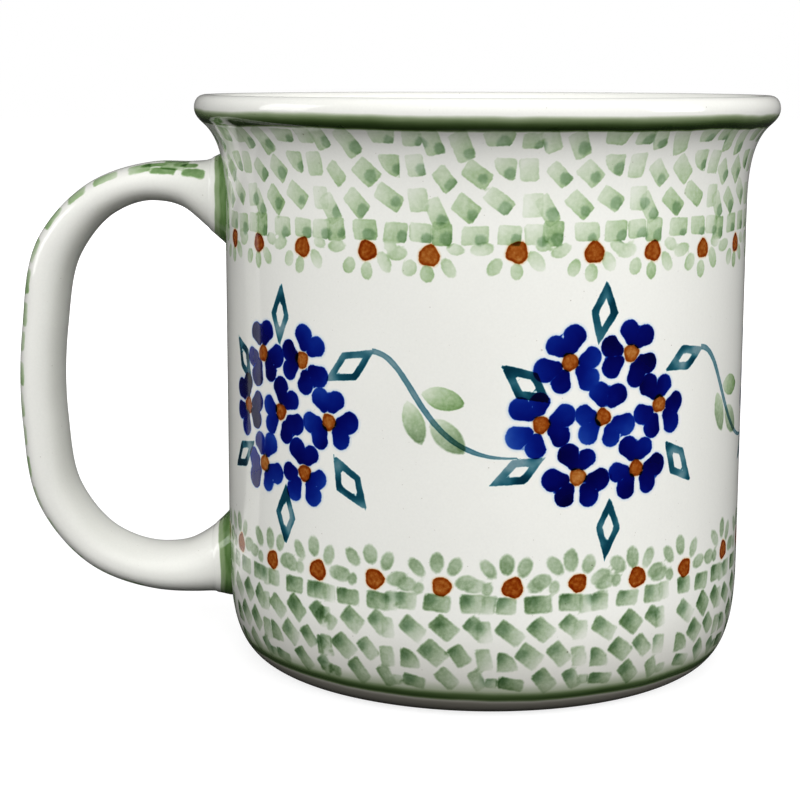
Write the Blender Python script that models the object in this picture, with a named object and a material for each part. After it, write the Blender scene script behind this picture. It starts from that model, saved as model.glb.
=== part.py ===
"""A straight-sided stoneware mug with a flared, rolled lip and one strap handle.

The mug stands on its foot ring at z = 0, its turning axis is the Z axis, and the handle
points along -X. Four pieces: the turned body, the pulled handle, and the two beads of
luting slip that bond the handle's ends to the wall.
"""

import math

import bmesh
import bpy

MM = 0.001

# Body
HEIGHT = 96.0 * MM
WALL_RADIUS = 44.0 * MM
WALL_THICKNESS = 4.0 * MM
FLOOR_HEIGHT = 6.5 * MM  # inside floor above the table
FLOOR_CORNER = 8.0 * MM  # radius where the inside wall turns into the floor

LIP_RADIUS = 49.0 * MM
LIP_WIDEST = 2.1 * MM  # how far below the top the lip is widest
LIP_CREST = 1.8 * MM  # from the lip's outer edge in to its top
FLARE_LENGTH = 17.0 * MM  # how far below the top the wall starts to flare

FOOT_RADIUS = 35.5 * MM  # outer edge of the ring that touches the table
FOOT_RING_WIDTH = 3.4 * MM
FOOT_CURVE_HEIGHT = 18.0 * MM  # where the wall starts to turn in towards the foot
UNDERSIDE_RECESS = 0.8 * MM
RECESS_EDGE = 0.6 * MM

# Handle: where its centre line runs, and half its thickness and half its width there.
# Each row is (distance from the mug's axis, height, half thickness, half width), in mm.
HANDLE_KNOTS = (
    (44.0, 78.5, 7.8, 9.4),
    (46.2, 79.1, 6.3, 8.7),
    (50.0, 80.6, 4.2, 8.0),
    (56.4, 81.3, 3.3, 7.6),
    (65.4, 78.5, 3.3, 7.2),
    (73.0, 70.4, 3.7, 7.0),
    (76.1, 56.0, 3.6, 7.0),
    (76.5, 39.5, 3.6, 7.0),
    (74.1, 26.0, 3.6, 7.2),
    (66.5, 17.0, 3.5, 7.5),
    (56.4, 13.7, 3.8, 7.8),
    (50.0, 14.1, 4.6, 8.2),
    (46.2, 15.5, 6.0, 8.8),
    (44.0, 16.5, 7.4, 9.4),
)
SECTION_ROUNDNESS = 2.3  # exponent of the strap's section: 2 is an ellipse
ROOT_BLEND = 12.0 * MM  # the ends follow the wall's curve, and lose it over this length

# Luting slip between each handle end and the wall
CLEARANCE = 0.3 * MM
SLIP_THICKNESS = 1.9 * MM

# How finely the pieces are made
BODY_SEGMENTS = 80
SECTION_POINTS = 20
SECTIONS_PER_SPAN = 3
SLIP_ROWS = 6

GLAZED_WHITE = (0.79, 0.78, 0.74)
PAINTED_GREEN = (0.10, 0.22, 0.12)


def clear_scene():
    for old in list(bpy.data.objects):
        bpy.data.objects.remove(old, do_unlink=True)


def glazed_material(name, colour, roughness):
    material = bpy.data.materials.new(name)
    material.use_nodes = True
    shader = material.node_tree.nodes["Principled BSDF"]
    shader.inputs["Base Color"].default_value = (*colour, 1.0)
    shader.inputs["Roughness"].default_value = roughness
    shader.inputs["Metallic"].default_value = 0.0
    material.diffuse_color = (*colour, 1.0)
    return material


def bezier(start, start_pull, end_pull, end, steps):
    """Points on a cubic curve from start to end, leaving out start itself."""
    points = []
    for step in range(1, steps + 1):
        t = step / steps
        u = 1.0 - t
        weights = (u**3, 3 * u * u * t, 3 * u * t * t, t**3)
        corners = (start, start_pull, end_pull, end)
        points.append(
            tuple(sum(w * c[i] for w, c in zip(weights, corners)) for i in (0, 1))
        )
    return points


def foot_profile():
    """(radius, height) from the underside's centre out over the foot ring to the wall."""
    inner_ring = FOOT_RADIUS - FOOT_RING_WIDTH
    profile = [
        (0.0, UNDERSIDE_RECESS),
        (inner_ring * 0.5, UNDERSIDE_RECESS),
        (inner_ring - RECESS_EDGE, UNDERSIDE_RECESS),
        (inner_ring, 0.0),
        (FOOT_RADIUS, 0.0),
    ]
    profile += bezier(
        (FOOT_RADIUS, 0.0),
        (WALL_RADIUS - 1.0 * MM, 0.0),
        (WALL_RADIUS, FOOT_CURVE_HEIGHT * 0.45),
        (WALL_RADIUS, FOOT_CURVE_HEIGHT),
        6,
    )
    return profile


def lip_profile():
    """(radius, height) up the outside of the flare, over the lip and down inside."""
    flare_start = (WALL_RADIUS, HEIGHT - FLARE_LENGTH)
    under_lip = (LIP_RADIUS - 1.4 * MM, HEIGHT - 4.65 * MM)
    widest = (LIP_RADIUS, HEIGHT - LIP_WIDEST)
    crest = (LIP_RADIUS - LIP_CREST, HEIGHT)
    inside_edge = (LIP_RADIUS - 4.1 * MM, HEIGHT - 2.0 * MM)
    inside_wall = (WALL_RADIUS - WALL_THICKNESS, HEIGHT - FLARE_LENGTH)
    profile = [flare_start]
    profile += bezier(
        flare_start,
        (WALL_RADIUS + 0.05 * MM, HEIGHT - 10.5 * MM),
        (WALL_RADIUS + 1.2 * MM, HEIGHT - 6.7 * MM),
        under_lip,
        6,
    )
    profile += bezier(
        under_lip,
        (LIP_RADIUS - 0.45 * MM, HEIGHT - 3.8 * MM),
        (LIP_RADIUS, HEIGHT - 3.1 * MM),
        widest,
        3,
    )
    profile += bezier(
        widest,
        (LIP_RADIUS, HEIGHT - 0.9 * MM),
        (crest[0] + 1.1 * MM, HEIGHT),
        crest,
        4,
    )
    profile += bezier(
        crest,
        (crest[0] - 1.0 * MM, HEIGHT),
        (inside_edge[0] + 0.6 * MM, inside_edge[1] + 1.3 * MM),
        inside_edge,
        3,
    )
    profile += bezier(
        inside_edge,
        (inside_edge[0] - 1.7 * MM, inside_edge[1] - 3.6 * MM),
        (inside_wall[0] + 0.3 * MM, HEIGHT - 8.0 * MM),
        inside_wall,
        5,
    )
    return profile


def inside_profile():
    """(radius, height) from the bottom of the inside wall round the corner to the axis."""
    radius = WALL_RADIUS - WALL_THICKNESS
    centre = (radius - FLOOR_CORNER, FLOOR_HEIGHT + FLOOR_CORNER)
    steps = 5
    profile = []
    for step in range(steps + 1):
        angle = 0.5 * math.pi * step / steps
        profile.append(
            (
                centre[0] + FLOOR_CORNER * math.cos(angle),
                centre[1] - FLOOR_CORNER * math.sin(angle),
            )
        )
    profile.append((centre[0] * 0.5, FLOOR_HEIGHT))
    profile.append((0.0, FLOOR_HEIGHT))
    return profile


def object_from(mesh_builder, name, material):
    """A new smooth-shaded object of the builder's mesh, with its faces pointing out."""
    bmesh.ops.recalc_face_normals(mesh_builder, faces=mesh_builder.faces)
    mesh = bpy.data.meshes.new(name)
    mesh_builder.to_mesh(mesh)
    mesh_builder.free()
    mesh.materials.append(material)
    mesh.shade_smooth()
    mesh.set_sharp_from_angle(angle=math.radians(35.0))
    made = bpy.data.objects.new(name, mesh)
    bpy.context.scene.collection.objects.link(made)
    return made


def make_body():
    """The profile turned round the mug's axis."""
    profile = foot_profile() + lip_profile() + inside_profile()
    turned = bmesh.new()
    corners = [turned.verts.new((radius, 0.0, height)) for radius, height in profile]
    edges = [turned.edges.new(pair) for pair in zip(corners, corners[1:])]
    bmesh.ops.spin(
        turned,
        geom=corners + edges,
        cent=(0.0, 0.0, 0.0),
        axis=(0.0, 0.0, 1.0),
        angle=2.0 * math.pi,
        steps=BODY_SEGMENTS,
    )
    bmesh.ops.remove_doubles(turned, verts=turned.verts, dist=0.001 * MM)
    return object_from(
        turned, "mug_body", glazed_material("stoneware_body", GLAZED_WHITE, 0.14)
    )


def between(low, high, share):
    return tuple(a + (b - a) * share for a, b in zip(low, high))


def knot_tangents(knots, lengths):
    """The path's direction at each knot, weighted by how near its neighbours are."""
    slopes = [
        tuple((b - a) / length for a, b in zip(first, second))
        for first, second, length in zip(knots, knots[1:], lengths)
    ]
    tangents = [slopes[0]]
    for index in range(1, len(knots) - 1):
        before, after = lengths[index - 1], lengths[index]
        share = before / (before + after)
        tangents.append(between(slopes[index - 1], slopes[index], share))
    tangents.append(slopes[-1])
    return tangents


def handle_path():
    """A function of 0..1 that gives (distance, height, half thickness, half width)."""
    knots = [tuple(value * MM for value in knot) for knot in HANDLE_KNOTS]
    lengths = [math.dist(a[:2], b[:2]) for a, b in zip(knots, knots[1:])]
    tangents = knot_tangents(knots, lengths)
    spans = len(lengths)

    def at(share):
        position = min(max(share, 0.0), 1.0) * spans
        index = min(int(position), spans - 1)
        t = position - index
        length = lengths[index]
        h00 = 2 * t**3 - 3 * t**2 + 1
        h10 = (t**3 - 2 * t**2 + t) * length
        h01 = -2 * t**3 + 3 * t**2
        h11 = (t**3 - t**2) * length
        return tuple(
            h00 * a + h10 * m + h01 * b + h11 * n
            for a, m, b, n in zip(
                knots[index], tangents[index], knots[index + 1], tangents[index + 1]
            )
        )

    return at


def share_at_distance(path, distance, low, high):
    """Where the path, rising or falling steadily from low to high, is this far out."""
    rising = path(high)[0] > path(low)[0]
    for _ in range(50):
        middle = 0.5 * (low + high)
        if (path(middle)[0] < distance) == rising:
            low = middle
        else:
            high = middle
    return 0.5 * (low + high)


def section(path, share):
    """One ring of the strap: its points, in order round the section."""
    step = 1e-4
    distance, height, half_thickness, half_width = path(share)
    ahead = path(min(share + step, 1.0))
    behind = path(max(share - step, 0.0))
    run = (ahead[0] - behind[0], ahead[1] - behind[1])
    length = math.hypot(*run)
    across = (-run[1] / length, run[0] / length)
    bend = 1.0 - min(max((distance - WALL_RADIUS) / ROOT_BLEND, 0.0), 1.0)
    bend = bend * bend * (3.0 - 2.0 * bend)
    # Near the wall a section stands upright, so that each end fits the wall squarely.
    upright = (0.0, math.copysign(1.0, across[1]))
    across = between(across, upright, bend)
    power = 2.0 / SECTION_ROUNDNESS
    ring = []
    for index in range(SECTION_POINTS):
        angle = 2.0 * math.pi * index / SECTION_POINTS
        cosine, sine = math.cos(angle), math.sin(angle)
        side = math.copysign(abs(cosine) ** power, cosine) * half_width
        rise = math.copysign(abs(sine) ** power, sine) * half_thickness
        reach = math.sqrt(distance**2 - side**2)
        out = distance + (reach - distance) * bend + across[0] * rise
        ring.append((-out, side, height + across[1] * rise))
    return ring


def wall_radius_at(height):
    """The outside radius of the body between its foot and its flare."""
    outside = foot_profile()[4:] + lip_profile()[:7]
    for (low_radius, low), (high_radius, high) in zip(outside, outside[1:]):
        if height <= high:
            share = (height - low) / (high - low)
            return low_radius + (high_radius - low_radius) * share
    return outside[-1][0]


def on_surface(side, height, surface):
    """The point this far to the side, at this height, on the surface's -X side."""
    return (-math.sqrt(surface(height) ** 2 - side**2), side, height)


def close_end(solid, loop, rows, surface):
    """Closes a ring with upright columns, whose inner points lie on the surface."""
    half = len(loop) // 2
    columns = [[loop[0]] * (rows + 1)]
    for index in range(1, half):
        top, bottom = loop[index].co, loop[-index].co
        column = [loop[index]]
        for row in range(1, rows):
            height = top.z + (bottom.z - top.z) * row / rows
            column.append(solid.verts.new(on_surface(top.y, height, surface)))
        column.append(loop[-index])
        columns.append(column)
    columns.append([loop[half]] * (rows + 1))
    for left, right in zip(columns, columns[1:]):
        for row in range(rows):
            corners = (left[row], left[row + 1], right[row + 1], right[row])
            solid.faces.new(list(dict.fromkeys(corners)))


def skin(rings, name, material, first_rows=1, first_surface=None):
    """A closed solid through the rings."""
    solid = bmesh.new()
    loops = [[solid.verts.new(point) for point in ring] for ring in rings]
    for low, high in zip(loops, loops[1:]):
        for index in range(SECTION_POINTS):
            after = (index + 1) % SECTION_POINTS
            solid.faces.new((low[index], low[after], high[after], high[index]))
    close_end(solid, loops[0], first_rows, first_surface)
    close_end(solid, loops[-1], 1, None)
    return object_from(solid, name, material)


def make_handle(path, white):
    """The strap, from just outside one bead of slip to just outside the other."""
    end_distance = WALL_RADIUS + SLIP_THICKNESS + 2.0 * CLEARANCE
    start = share_at_distance(path, end_distance, 0.0, 0.3)
    finish = share_at_distance(path, end_distance, 0.7, 1.0)
    count = SECTIONS_PER_SPAN * (len(HANDLE_KNOTS) - 3)
    rings = [
        section(path, start + (finish - start) * index / count)
        for index in range(count + 1)
    ]
    return skin(rings, "handle", white)


def make_slip_joint(path, name, low, high, green):
    """The bead of slip between the wall and one end of the handle."""
    handle_side = WALL_RADIUS + CLEARANCE + SLIP_THICKNESS

    def wall_side(height):
        return wall_radius_at(height) + CLEARANCE

    rings = []
    for part in (0.0, 0.5, 1.0):
        distance = WALL_RADIUS + CLEARANCE + SLIP_THICKNESS * part
        share = share_at_distance(path, distance, low, high)

        def layer(height, part=part):
            return wall_side(height) * (1.0 - part) + handle_side * part

        ring = section(path, share)
        rings.append([on_surface(side, height, layer) for _, side, height in ring])
    return skin(rings, name, green, SLIP_ROWS, wall_side)


def main():
    clear_scene()
    path = handle_path()
    white = glazed_material("stoneware_handle", GLAZED_WHITE, 0.14)
    make_body()
    make_handle(path, white)
    green = glazed_material("painted_slip_upper", PAINTED_GREEN, 0.16)
    make_slip_joint(path, "upper_slip_joint", 0.0, 0.3, green)
    green = glazed_material("painted_slip_lower", PAINTED_GREEN, 0.16)
    make_slip_joint(path, "lower_slip_joint", 0.7, 1.0, green)


main()
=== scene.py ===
# A white-glazed stoneware mug with sponge-stamped folk flowers, a flared rolled lip and a
# strap handle. It stands on z = 0, its turning axis is the Z axis, and the handle points
# along -X. Lengths are in millimetres; MM turns them into Blender's metres.
#
# The painting is laid out on the wall unrolled flat. Each kind of mark is stored on the
# mesh as a distance to the mark's edge, and the materials turn those distances into paint.

import math
import random

import bmesh
import bpy
import numpy as np
from mathutils import Matrix, Vector


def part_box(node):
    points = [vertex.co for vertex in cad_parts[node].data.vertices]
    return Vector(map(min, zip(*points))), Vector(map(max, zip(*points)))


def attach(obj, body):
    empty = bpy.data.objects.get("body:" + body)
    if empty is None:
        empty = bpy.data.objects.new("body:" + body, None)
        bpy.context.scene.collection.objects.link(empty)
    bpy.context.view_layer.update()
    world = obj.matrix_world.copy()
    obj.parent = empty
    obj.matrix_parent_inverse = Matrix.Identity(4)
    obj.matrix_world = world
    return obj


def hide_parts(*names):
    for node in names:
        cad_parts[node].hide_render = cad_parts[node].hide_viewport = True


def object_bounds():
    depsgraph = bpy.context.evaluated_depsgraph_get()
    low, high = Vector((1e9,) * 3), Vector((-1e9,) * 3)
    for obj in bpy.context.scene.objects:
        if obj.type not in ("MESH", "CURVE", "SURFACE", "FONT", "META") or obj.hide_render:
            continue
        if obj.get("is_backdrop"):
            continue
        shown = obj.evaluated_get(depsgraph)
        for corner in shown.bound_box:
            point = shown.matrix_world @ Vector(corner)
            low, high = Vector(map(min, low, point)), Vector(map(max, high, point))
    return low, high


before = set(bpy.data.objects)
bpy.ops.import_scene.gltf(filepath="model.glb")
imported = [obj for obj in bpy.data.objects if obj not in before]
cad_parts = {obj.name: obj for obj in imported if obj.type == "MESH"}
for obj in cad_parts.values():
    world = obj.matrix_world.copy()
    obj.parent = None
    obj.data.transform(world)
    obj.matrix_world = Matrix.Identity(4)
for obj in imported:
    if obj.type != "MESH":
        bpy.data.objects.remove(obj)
CAD_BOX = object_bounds()

MM = 0.001
BODY_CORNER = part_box("mug_body")[1] / MM

# Body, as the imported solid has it
HEIGHT = BODY_CORNER.z
LIP_RADIUS = BODY_CORNER.x
WALL_RADIUS = 44.0
WALL_THICKNESS = 4.0
FLOOR_HEIGHT = 6.5
FLOOR_CORNER = 8.0
LIP_WIDEST = 2.1
LIP_CREST = 1.8
FLARE_LENGTH = 17.0
FOOT_RADIUS = 35.5
FOOT_RING_WIDTH = 3.4
FOOT_CURVE_HEIGHT = 18.0
UNDERSIDE_RECESS = 0.8
RECESS_EDGE = 0.6

# Handle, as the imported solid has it: distance from the axis, height, half thickness and
# half width of the strap at each knot.
HANDLE_KNOTS = (
    (44.0, 78.5, 7.8, 9.4),
    (46.2, 79.1, 6.3, 8.7),
    (50.0, 80.6, 4.2, 8.0),
    (56.4, 81.3, 3.3, 7.6),
    (65.4, 78.5, 3.3, 7.2),
    (73.0, 70.4, 3.7, 7.0),
    (76.1, 56.0, 3.6, 7.0),
    (76.5, 39.5, 3.6, 7.0),
    (74.1, 26.0, 3.6, 7.2),
    (66.5, 17.0, 3.5, 7.5),
    (56.4, 13.7, 3.8, 7.8),
    (50.0, 14.1, 4.6, 8.2),
    (46.2, 15.5, 6.0, 8.8),
    (44.0, 16.5, 7.4, 9.4),
)
UPPER_ROOT = (0.0, 0.3)  # the stretches of the strap's path, from 0 to 1, that hold its ends
LOWER_ROOT = (0.7, 1.0)
SECTION_ROUNDNESS = 2.3  # exponent of the strap's section: 2 is an ellipse
ROOT_BLEND = 12.0
HANDLE_END = 46.2  # the strap starts here, inside its bead of slip
BEAD_EDGE = 46.9  # the bead of slip reaches this far from the axis
BEAD_DEPTH = 1.2  # and this far into the wall
BEAD_SWELL = 0.16  # how far the bead stands proud of the strap

# How finely the pieces are made
WALL_COLUMNS = 480
PAINTED_ROW = 0.55
PLAIN_ROW = 2.6
LIP_ROW = 0.6
HANDLE_RING = 0.6
BEAD_RINGS = 22
SECTION_POINTS = 72

# Where the painting is: angles are in degrees from the front, which faces -Y
HANDLE_ANGLE = -90.0
CLUSTERS = (  # angle, height, turn
    (-46.2, 46.5, 0.0),
    (24.9, 48.2, 4.5),
    (97.0, 47.2, -3.0),
    (167.0, 48.0, 2.0),
    (234.0, 46.9, -1.5),
)
FLORET_SPACING = 10.3
FLORET_TURNS = (71.0, 94.0, 61.0, 100.0, 113.0, 80.0, 89.0)  # the middle one, then round it
DIAMOND_SETS = (  # direction from the cluster's middle, distance, direction of its long axis
    (
        (91.0, 15.7, 85.0),
        (31.9, 16.8, 32.0),
        (-34.2, 16.9, -52.0),
        (-87.5, 16.3, -92.0),
        (214.2, 15.1, 218.0),
        (148.4, 13.7, 130.0),
    ),
    (
        (91.0, 15.8, 84.0),
        (26.1, 17.7, 18.0),
        (-30.6, 17.1, -45.0),
        (-86.8, 17.7, -95.0),
        (210.7, 16.0, 209.0),
        (157.3, 13.8, 137.0),
    ),
)
DIAMOND_SIZE = (4.9, 2.25)  # half length and half width
DIAMOND_STROKE = 1.12
TOP_DAISIES = (-67.2, -54.1, -39.5, -23.6, -10.7, 6.4, 22.0, 35.6, 50.6, 66.4)  # then evenly
TOP_DAISY_STEP = 14.7
TOP_DAISY_HEIGHT = 73.0
TOP_STAMPS = (-74.5, -52.6, -30.7, -8.5, 13.5, 35.5, 56.6)
TOP_STAMP_STEP = 22.0
BOTTOM_DAISIES = (-65.1, -49.9, -35.8, -22.0, -7.9, 6.3, 19.7, 33.5, 47.2, 64.4)
BOTTOM_DAISY_STEP = 14.4
BOTTOM_DAISY_HEIGHT = 22.1
BOTTOM_STAMPS = (-68.5, -49.4, -34.6, -15.1, 4.8, 24.6, 46.9, 66.2)
BOTTOM_STAMP_STEP = 19.9
TOP_PRINT = (0.54, 0.12, (0.95, -0.85))  # paint, its slope, and where a tile's blot lies
BOTTOM_PRINT = (1.1, 0.28, (-1.0, 0.7))
BLOT_RADII = (0.75, 1.1)
LIP_BAND = (91.3, 93.2)  # lower and upper edge
FOOT_BAND = (3.5, 4.4)
BAND_TILT = 0.006  # the bands were brushed on a wheel that ran a little out of true
DASH_ROWS = (4.7, 0.0, -4.7)  # across the strap's outer face
DASH_PITCH = 5.2

FAR = 6.0  # a distance that means that no mark is near
PETAL_LAYERS = 5
GREEN_LAYERS = 3


# ---------------------------------------------------------------- outlines


def bezier(start, start_pull, end_pull, end, steps=24):
    """Points on a cubic curve from start to end, leaving out start itself."""
    points = []
    for step in range(1, steps + 1):
        t = step / steps
        u = 1.0 - t
        weights = (u**3, 3 * u * u * t, 3 * u * t * t, t**3)
        corners = (start, start_pull, end_pull, end)
        points.append(
            tuple(sum(w * c[i] for w, c in zip(weights, corners)) for i in (0, 1))
        )
    return points


def resample(points, spacing):
    """The same line with evenly spaced points."""
    points = np.array(points)
    lengths = np.hypot(*np.diff(points, axis=0).T)
    along = np.concatenate(([0.0], np.cumsum(lengths)))
    count = max(2, round(along[-1] / spacing) + 1)
    wanted = np.linspace(0.0, along[-1], count)
    return np.column_stack([np.interp(wanted, along, points[:, i]) for i in (0, 1)])


def underside():
    """(radius, height) from the underside's centre out to the foot ring's outer edge."""
    ring = FOOT_RADIUS - FOOT_RING_WIDTH
    flat = resample([(0.0, UNDERSIDE_RECESS), (ring - RECESS_EDGE, UNDERSIDE_RECESS)], PLAIN_ROW)
    edge = [(ring, 0.0)]
    edge += bezier((ring, 0.0), (ring, 0.0), (FOOT_RADIUS - 1.0, 0.0), (FOOT_RADIUS, 0.0), 4)
    return np.concatenate([flat, edge])


def outside():
    """(radius, height) from the foot ring up the wall and the flare to the lip's edge."""
    foot = (FOOT_RADIUS, 0.0)
    wall = (WALL_RADIUS, FOOT_CURVE_HEIGHT)
    flare = (WALL_RADIUS, HEIGHT - FLARE_LENGTH)
    under_lip = (LIP_RADIUS - 1.4, HEIGHT - 4.65)
    widest = (LIP_RADIUS, HEIGHT - LIP_WIDEST)
    points = [foot]
    points += bezier(foot, (WALL_RADIUS - 1.0, 0.0), (WALL_RADIUS, FOOT_CURVE_HEIGHT * 0.45), wall)
    points += [flare]
    points += bezier(
        flare, (WALL_RADIUS + 0.05, HEIGHT - 10.5), (WALL_RADIUS + 1.2, HEIGHT - 6.7), under_lip
    )
    points += bezier(
        under_lip, (LIP_RADIUS - 0.45, HEIGHT - 3.8), (LIP_RADIUS, HEIGHT - 3.1), widest
    )
    return resample(points, PAINTED_ROW)


def inside():
    """(radius, height) over the lip, down the inside wall and over the floor to the axis."""
    widest = (LIP_RADIUS, HEIGHT - LIP_WIDEST)
    crest = (LIP_RADIUS - LIP_CREST, HEIGHT)
    edge = (LIP_RADIUS - 4.1, HEIGHT - 2.0)
    wall = (WALL_RADIUS - WALL_THICKNESS, HEIGHT - FLARE_LENGTH)
    lip = [widest]
    lip += bezier(widest, (LIP_RADIUS, HEIGHT - 0.9), (crest[0] + 1.1, HEIGHT), crest)
    lip += bezier(crest, (crest[0] - 1.0, HEIGHT), (edge[0] + 0.6, edge[1] + 1.3), edge)
    throat = [edge]
    throat += bezier(edge, (edge[0] - 1.7, edge[1] - 3.6), (wall[0] + 0.3, HEIGHT - 8.0), wall)
    centre = (wall[0] - FLOOR_CORNER, FLOOR_HEIGHT + FLOOR_CORNER)
    corner = []
    for step in range(13):
        angle = 0.5 * math.pi * step / 12
        corner.append(
            (
                centre[0] + FLOOR_CORNER * math.cos(angle),
                centre[1] - FLOOR_CORNER * math.sin(angle),
            )
        )
    pieces = [
        resample(lip, LIP_ROW)[1:],
        resample(throat, 1.4)[1:],
        resample([wall, corner[0]], PLAIN_ROW)[1:],
        np.array(corner[1:]),
        resample([corner[-1], (0.0, FLOOR_HEIGHT)], PLAIN_ROW)[1:],
    ]
    return np.concatenate(pieces)


# ---------------------------------------------------------------- marks on a flat canvas


class Hand(random.Random):
    """A seeded hand that is never quite steady."""

    def off(self, reach):
        return self.uniform(-reach, reach)


def empty_value(name):
    """What a layer holds where nothing is painted."""
    if name.endswith("_load"):
        return 1.0
    return {"vine_offset": 2.0, "vine_width": -5.0}.get(name, FAR)


class Canvas:
    """A surface laid flat, with layers of distances to the nearest mark's edge."""

    def __init__(self, across, up, around=None):
        self.across = np.asarray(across, float)
        self.up = np.asarray(up, float)
        self.around = around
        self.layers = {}

    def layer(self, name):
        if name not in self.layers:
            self.layers[name] = np.full((len(self.up), len(self.across)), empty_value(name))
        return self.layers[name]

    def window(self, x, y, reach):
        """The part of the grid within reach, and its offsets from (x, y)."""
        sideways = self.across - x
        if self.around:
            half = 0.5 * self.around
            sideways = (sideways + half) % self.around - half
        columns = np.flatnonzero(np.abs(sideways) < reach)
        rows = np.flatnonzero(np.abs(self.up - y) < reach)
        spot = np.ix_(rows, columns)
        return spot, sideways[columns][None, :], (self.up[rows] - y)[:, None]

    def mark(self, name, x, y, turn, reach, shape, load=None):
        """Adds a shape, turned anticlockwise, and how much paint it carries.

        Layers whose names start with the same word share one layer of loads.
        """
        spot, right, rise = self.window(x, y, reach + 2.0)
        if not spot[0].size or not spot[1].size:
            return
        cosine, sine = math.cos(math.radians(turn)), math.sin(math.radians(turn))
        u = right * cosine + rise * sine
        v = rise * cosine - right * sine
        distance = shape(u, v)
        layer = self.layer(name)
        layer[spot] = np.minimum(layer[spot], distance)
        if load:
            kind = name.split("_")[0]
            owner = self.layer(kind + "_owner")
            nearer = distance < owner[spot]
            loads = self.layer(kind + "_load")
            loads[spot] = np.where(nearer, load(u, v), loads[spot])
            owner[spot] = np.minimum(owner[spot], distance)


def blob(radius, bumps, phase):
    """A disc with a hand-cut edge."""

    def shape(u, v):
        angle = np.arctan2(v, u)
        wavy = 1.0 + 0.07 * np.sin(bumps * angle + phase) + 0.04 * np.sin(5 * angle + 2 * phase)
        return np.hypot(u, v) - radius * wavy

    return shape


def oval(half_length, half_width):
    narrow = min(half_length, half_width)
    return lambda u, v: (np.hypot(u / half_length, v / half_width) - 1.0) * narrow


def rounded(right, high, corner):
    """Rounds the corners where the distances to two edges meet."""
    right = right + corner
    high = high + corner
    beyond = np.hypot(np.maximum(right, 0.0), np.maximum(high, 0.0))
    return beyond + np.minimum(np.maximum(right, high), 0.0) - corner


def box(half_length, half_width, corner, slant=0.0):
    """A rectangle with rounded corners, its top pushed sideways by the slant."""

    def shape(u, v):
        right = np.abs(u - slant * v) - half_length
        return rounded(right, np.abs(v) - half_width, corner)

    return shape


def quarter(radius):
    """A quarter of a disc, its square corner at the upper right."""

    def shape(u, v):
        right = u - 0.45 * radius
        high = v - 0.45 * radius
        return np.maximum(np.maximum(right, high), np.hypot(right, high) - radius)

    return shape


def tapering(half_length, half_width, corner):
    """A rectangle that narrows towards its lower side."""

    def shape(u, v):
        share = 0.5 - 0.5 * np.clip(v / half_width, -1.0, 1.0)
        right = np.abs(u) - half_length * (1.0 - 0.28 * share)
        return rounded(right, np.abs(v) - half_width, corner)

    return shape


def straight_sided(corners):
    """A convex shape given by its corners, anticlockwise."""

    def shape(u, v):
        farthest = -FAR * np.ones(np.broadcast(u, v).shape)
        for (x0, y0), (x1, y1) in zip(corners, corners[1:] + corners[:1]):
            length = math.hypot(x1 - x0, y1 - y0)
            outward = ((y1 - y0) / length, -(x1 - x0) / length)
            farthest = np.maximum(farthest, (u - x0) * outward[0] + (v - y0) * outward[1])
        return farthest

    return shape


def petal(size, lopsided):
    """A notched petal that points up from the origin; one lobe may be bigger."""

    def shape(u, v):
        nearest = np.full(np.broadcast(u, v).shape, FAR)
        for side in (-1.0, 1.0):
            grown = size * (1.0 + side * lopsided)
            lobe, lobe_radius = (side * 1.55 * grown, 3.28 * grown), 1.72 * grown
            run = (side * 0.85 * size - lobe[0], 2.1 * size - lobe[1])
            tip_radius = 0.95 * size
            along = (u - lobe[0]) * run[0] + (v - lobe[1]) * run[1]
            along = np.clip(along / (run[0] ** 2 + run[1] ** 2), 0.0, 1.0)
            gap = np.hypot(u - lobe[0] - along * run[0], v - lobe[1] - along * run[1])
            radius = lobe_radius + (tip_radius - lobe_radius) * along
            nearest = np.minimum(nearest, gap - radius)
        return nearest

    return shape


def leaf(half_length, half_width):
    """A lens with two points, along u."""
    radius = (half_length**2 + half_width**2) / (2.0 * half_width)
    offset = radius - half_width
    return lambda u, v: np.hypot(u, np.abs(v) + offset) - radius


def even(amount):
    return lambda u, v: amount + 0.0 * u + 0.0 * v


def shaded(amount, slope, direction):
    """Paint that gets thicker towards a direction."""
    cosine, sine = math.cos(math.radians(direction)), math.sin(math.radians(direction))
    return lambda u, v: np.clip(amount + slope * (u * cosine + v * sine), 0.15, 2.5)


# ---------------------------------------------------------------- the painted motifs


def polar(x, y, direction, distance):
    angle = math.radians(direction)
    return x + distance * math.cos(angle), y + distance * math.sin(angle)


def along_wall(angle):
    return math.radians(angle) * WALL_RADIUS


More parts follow.
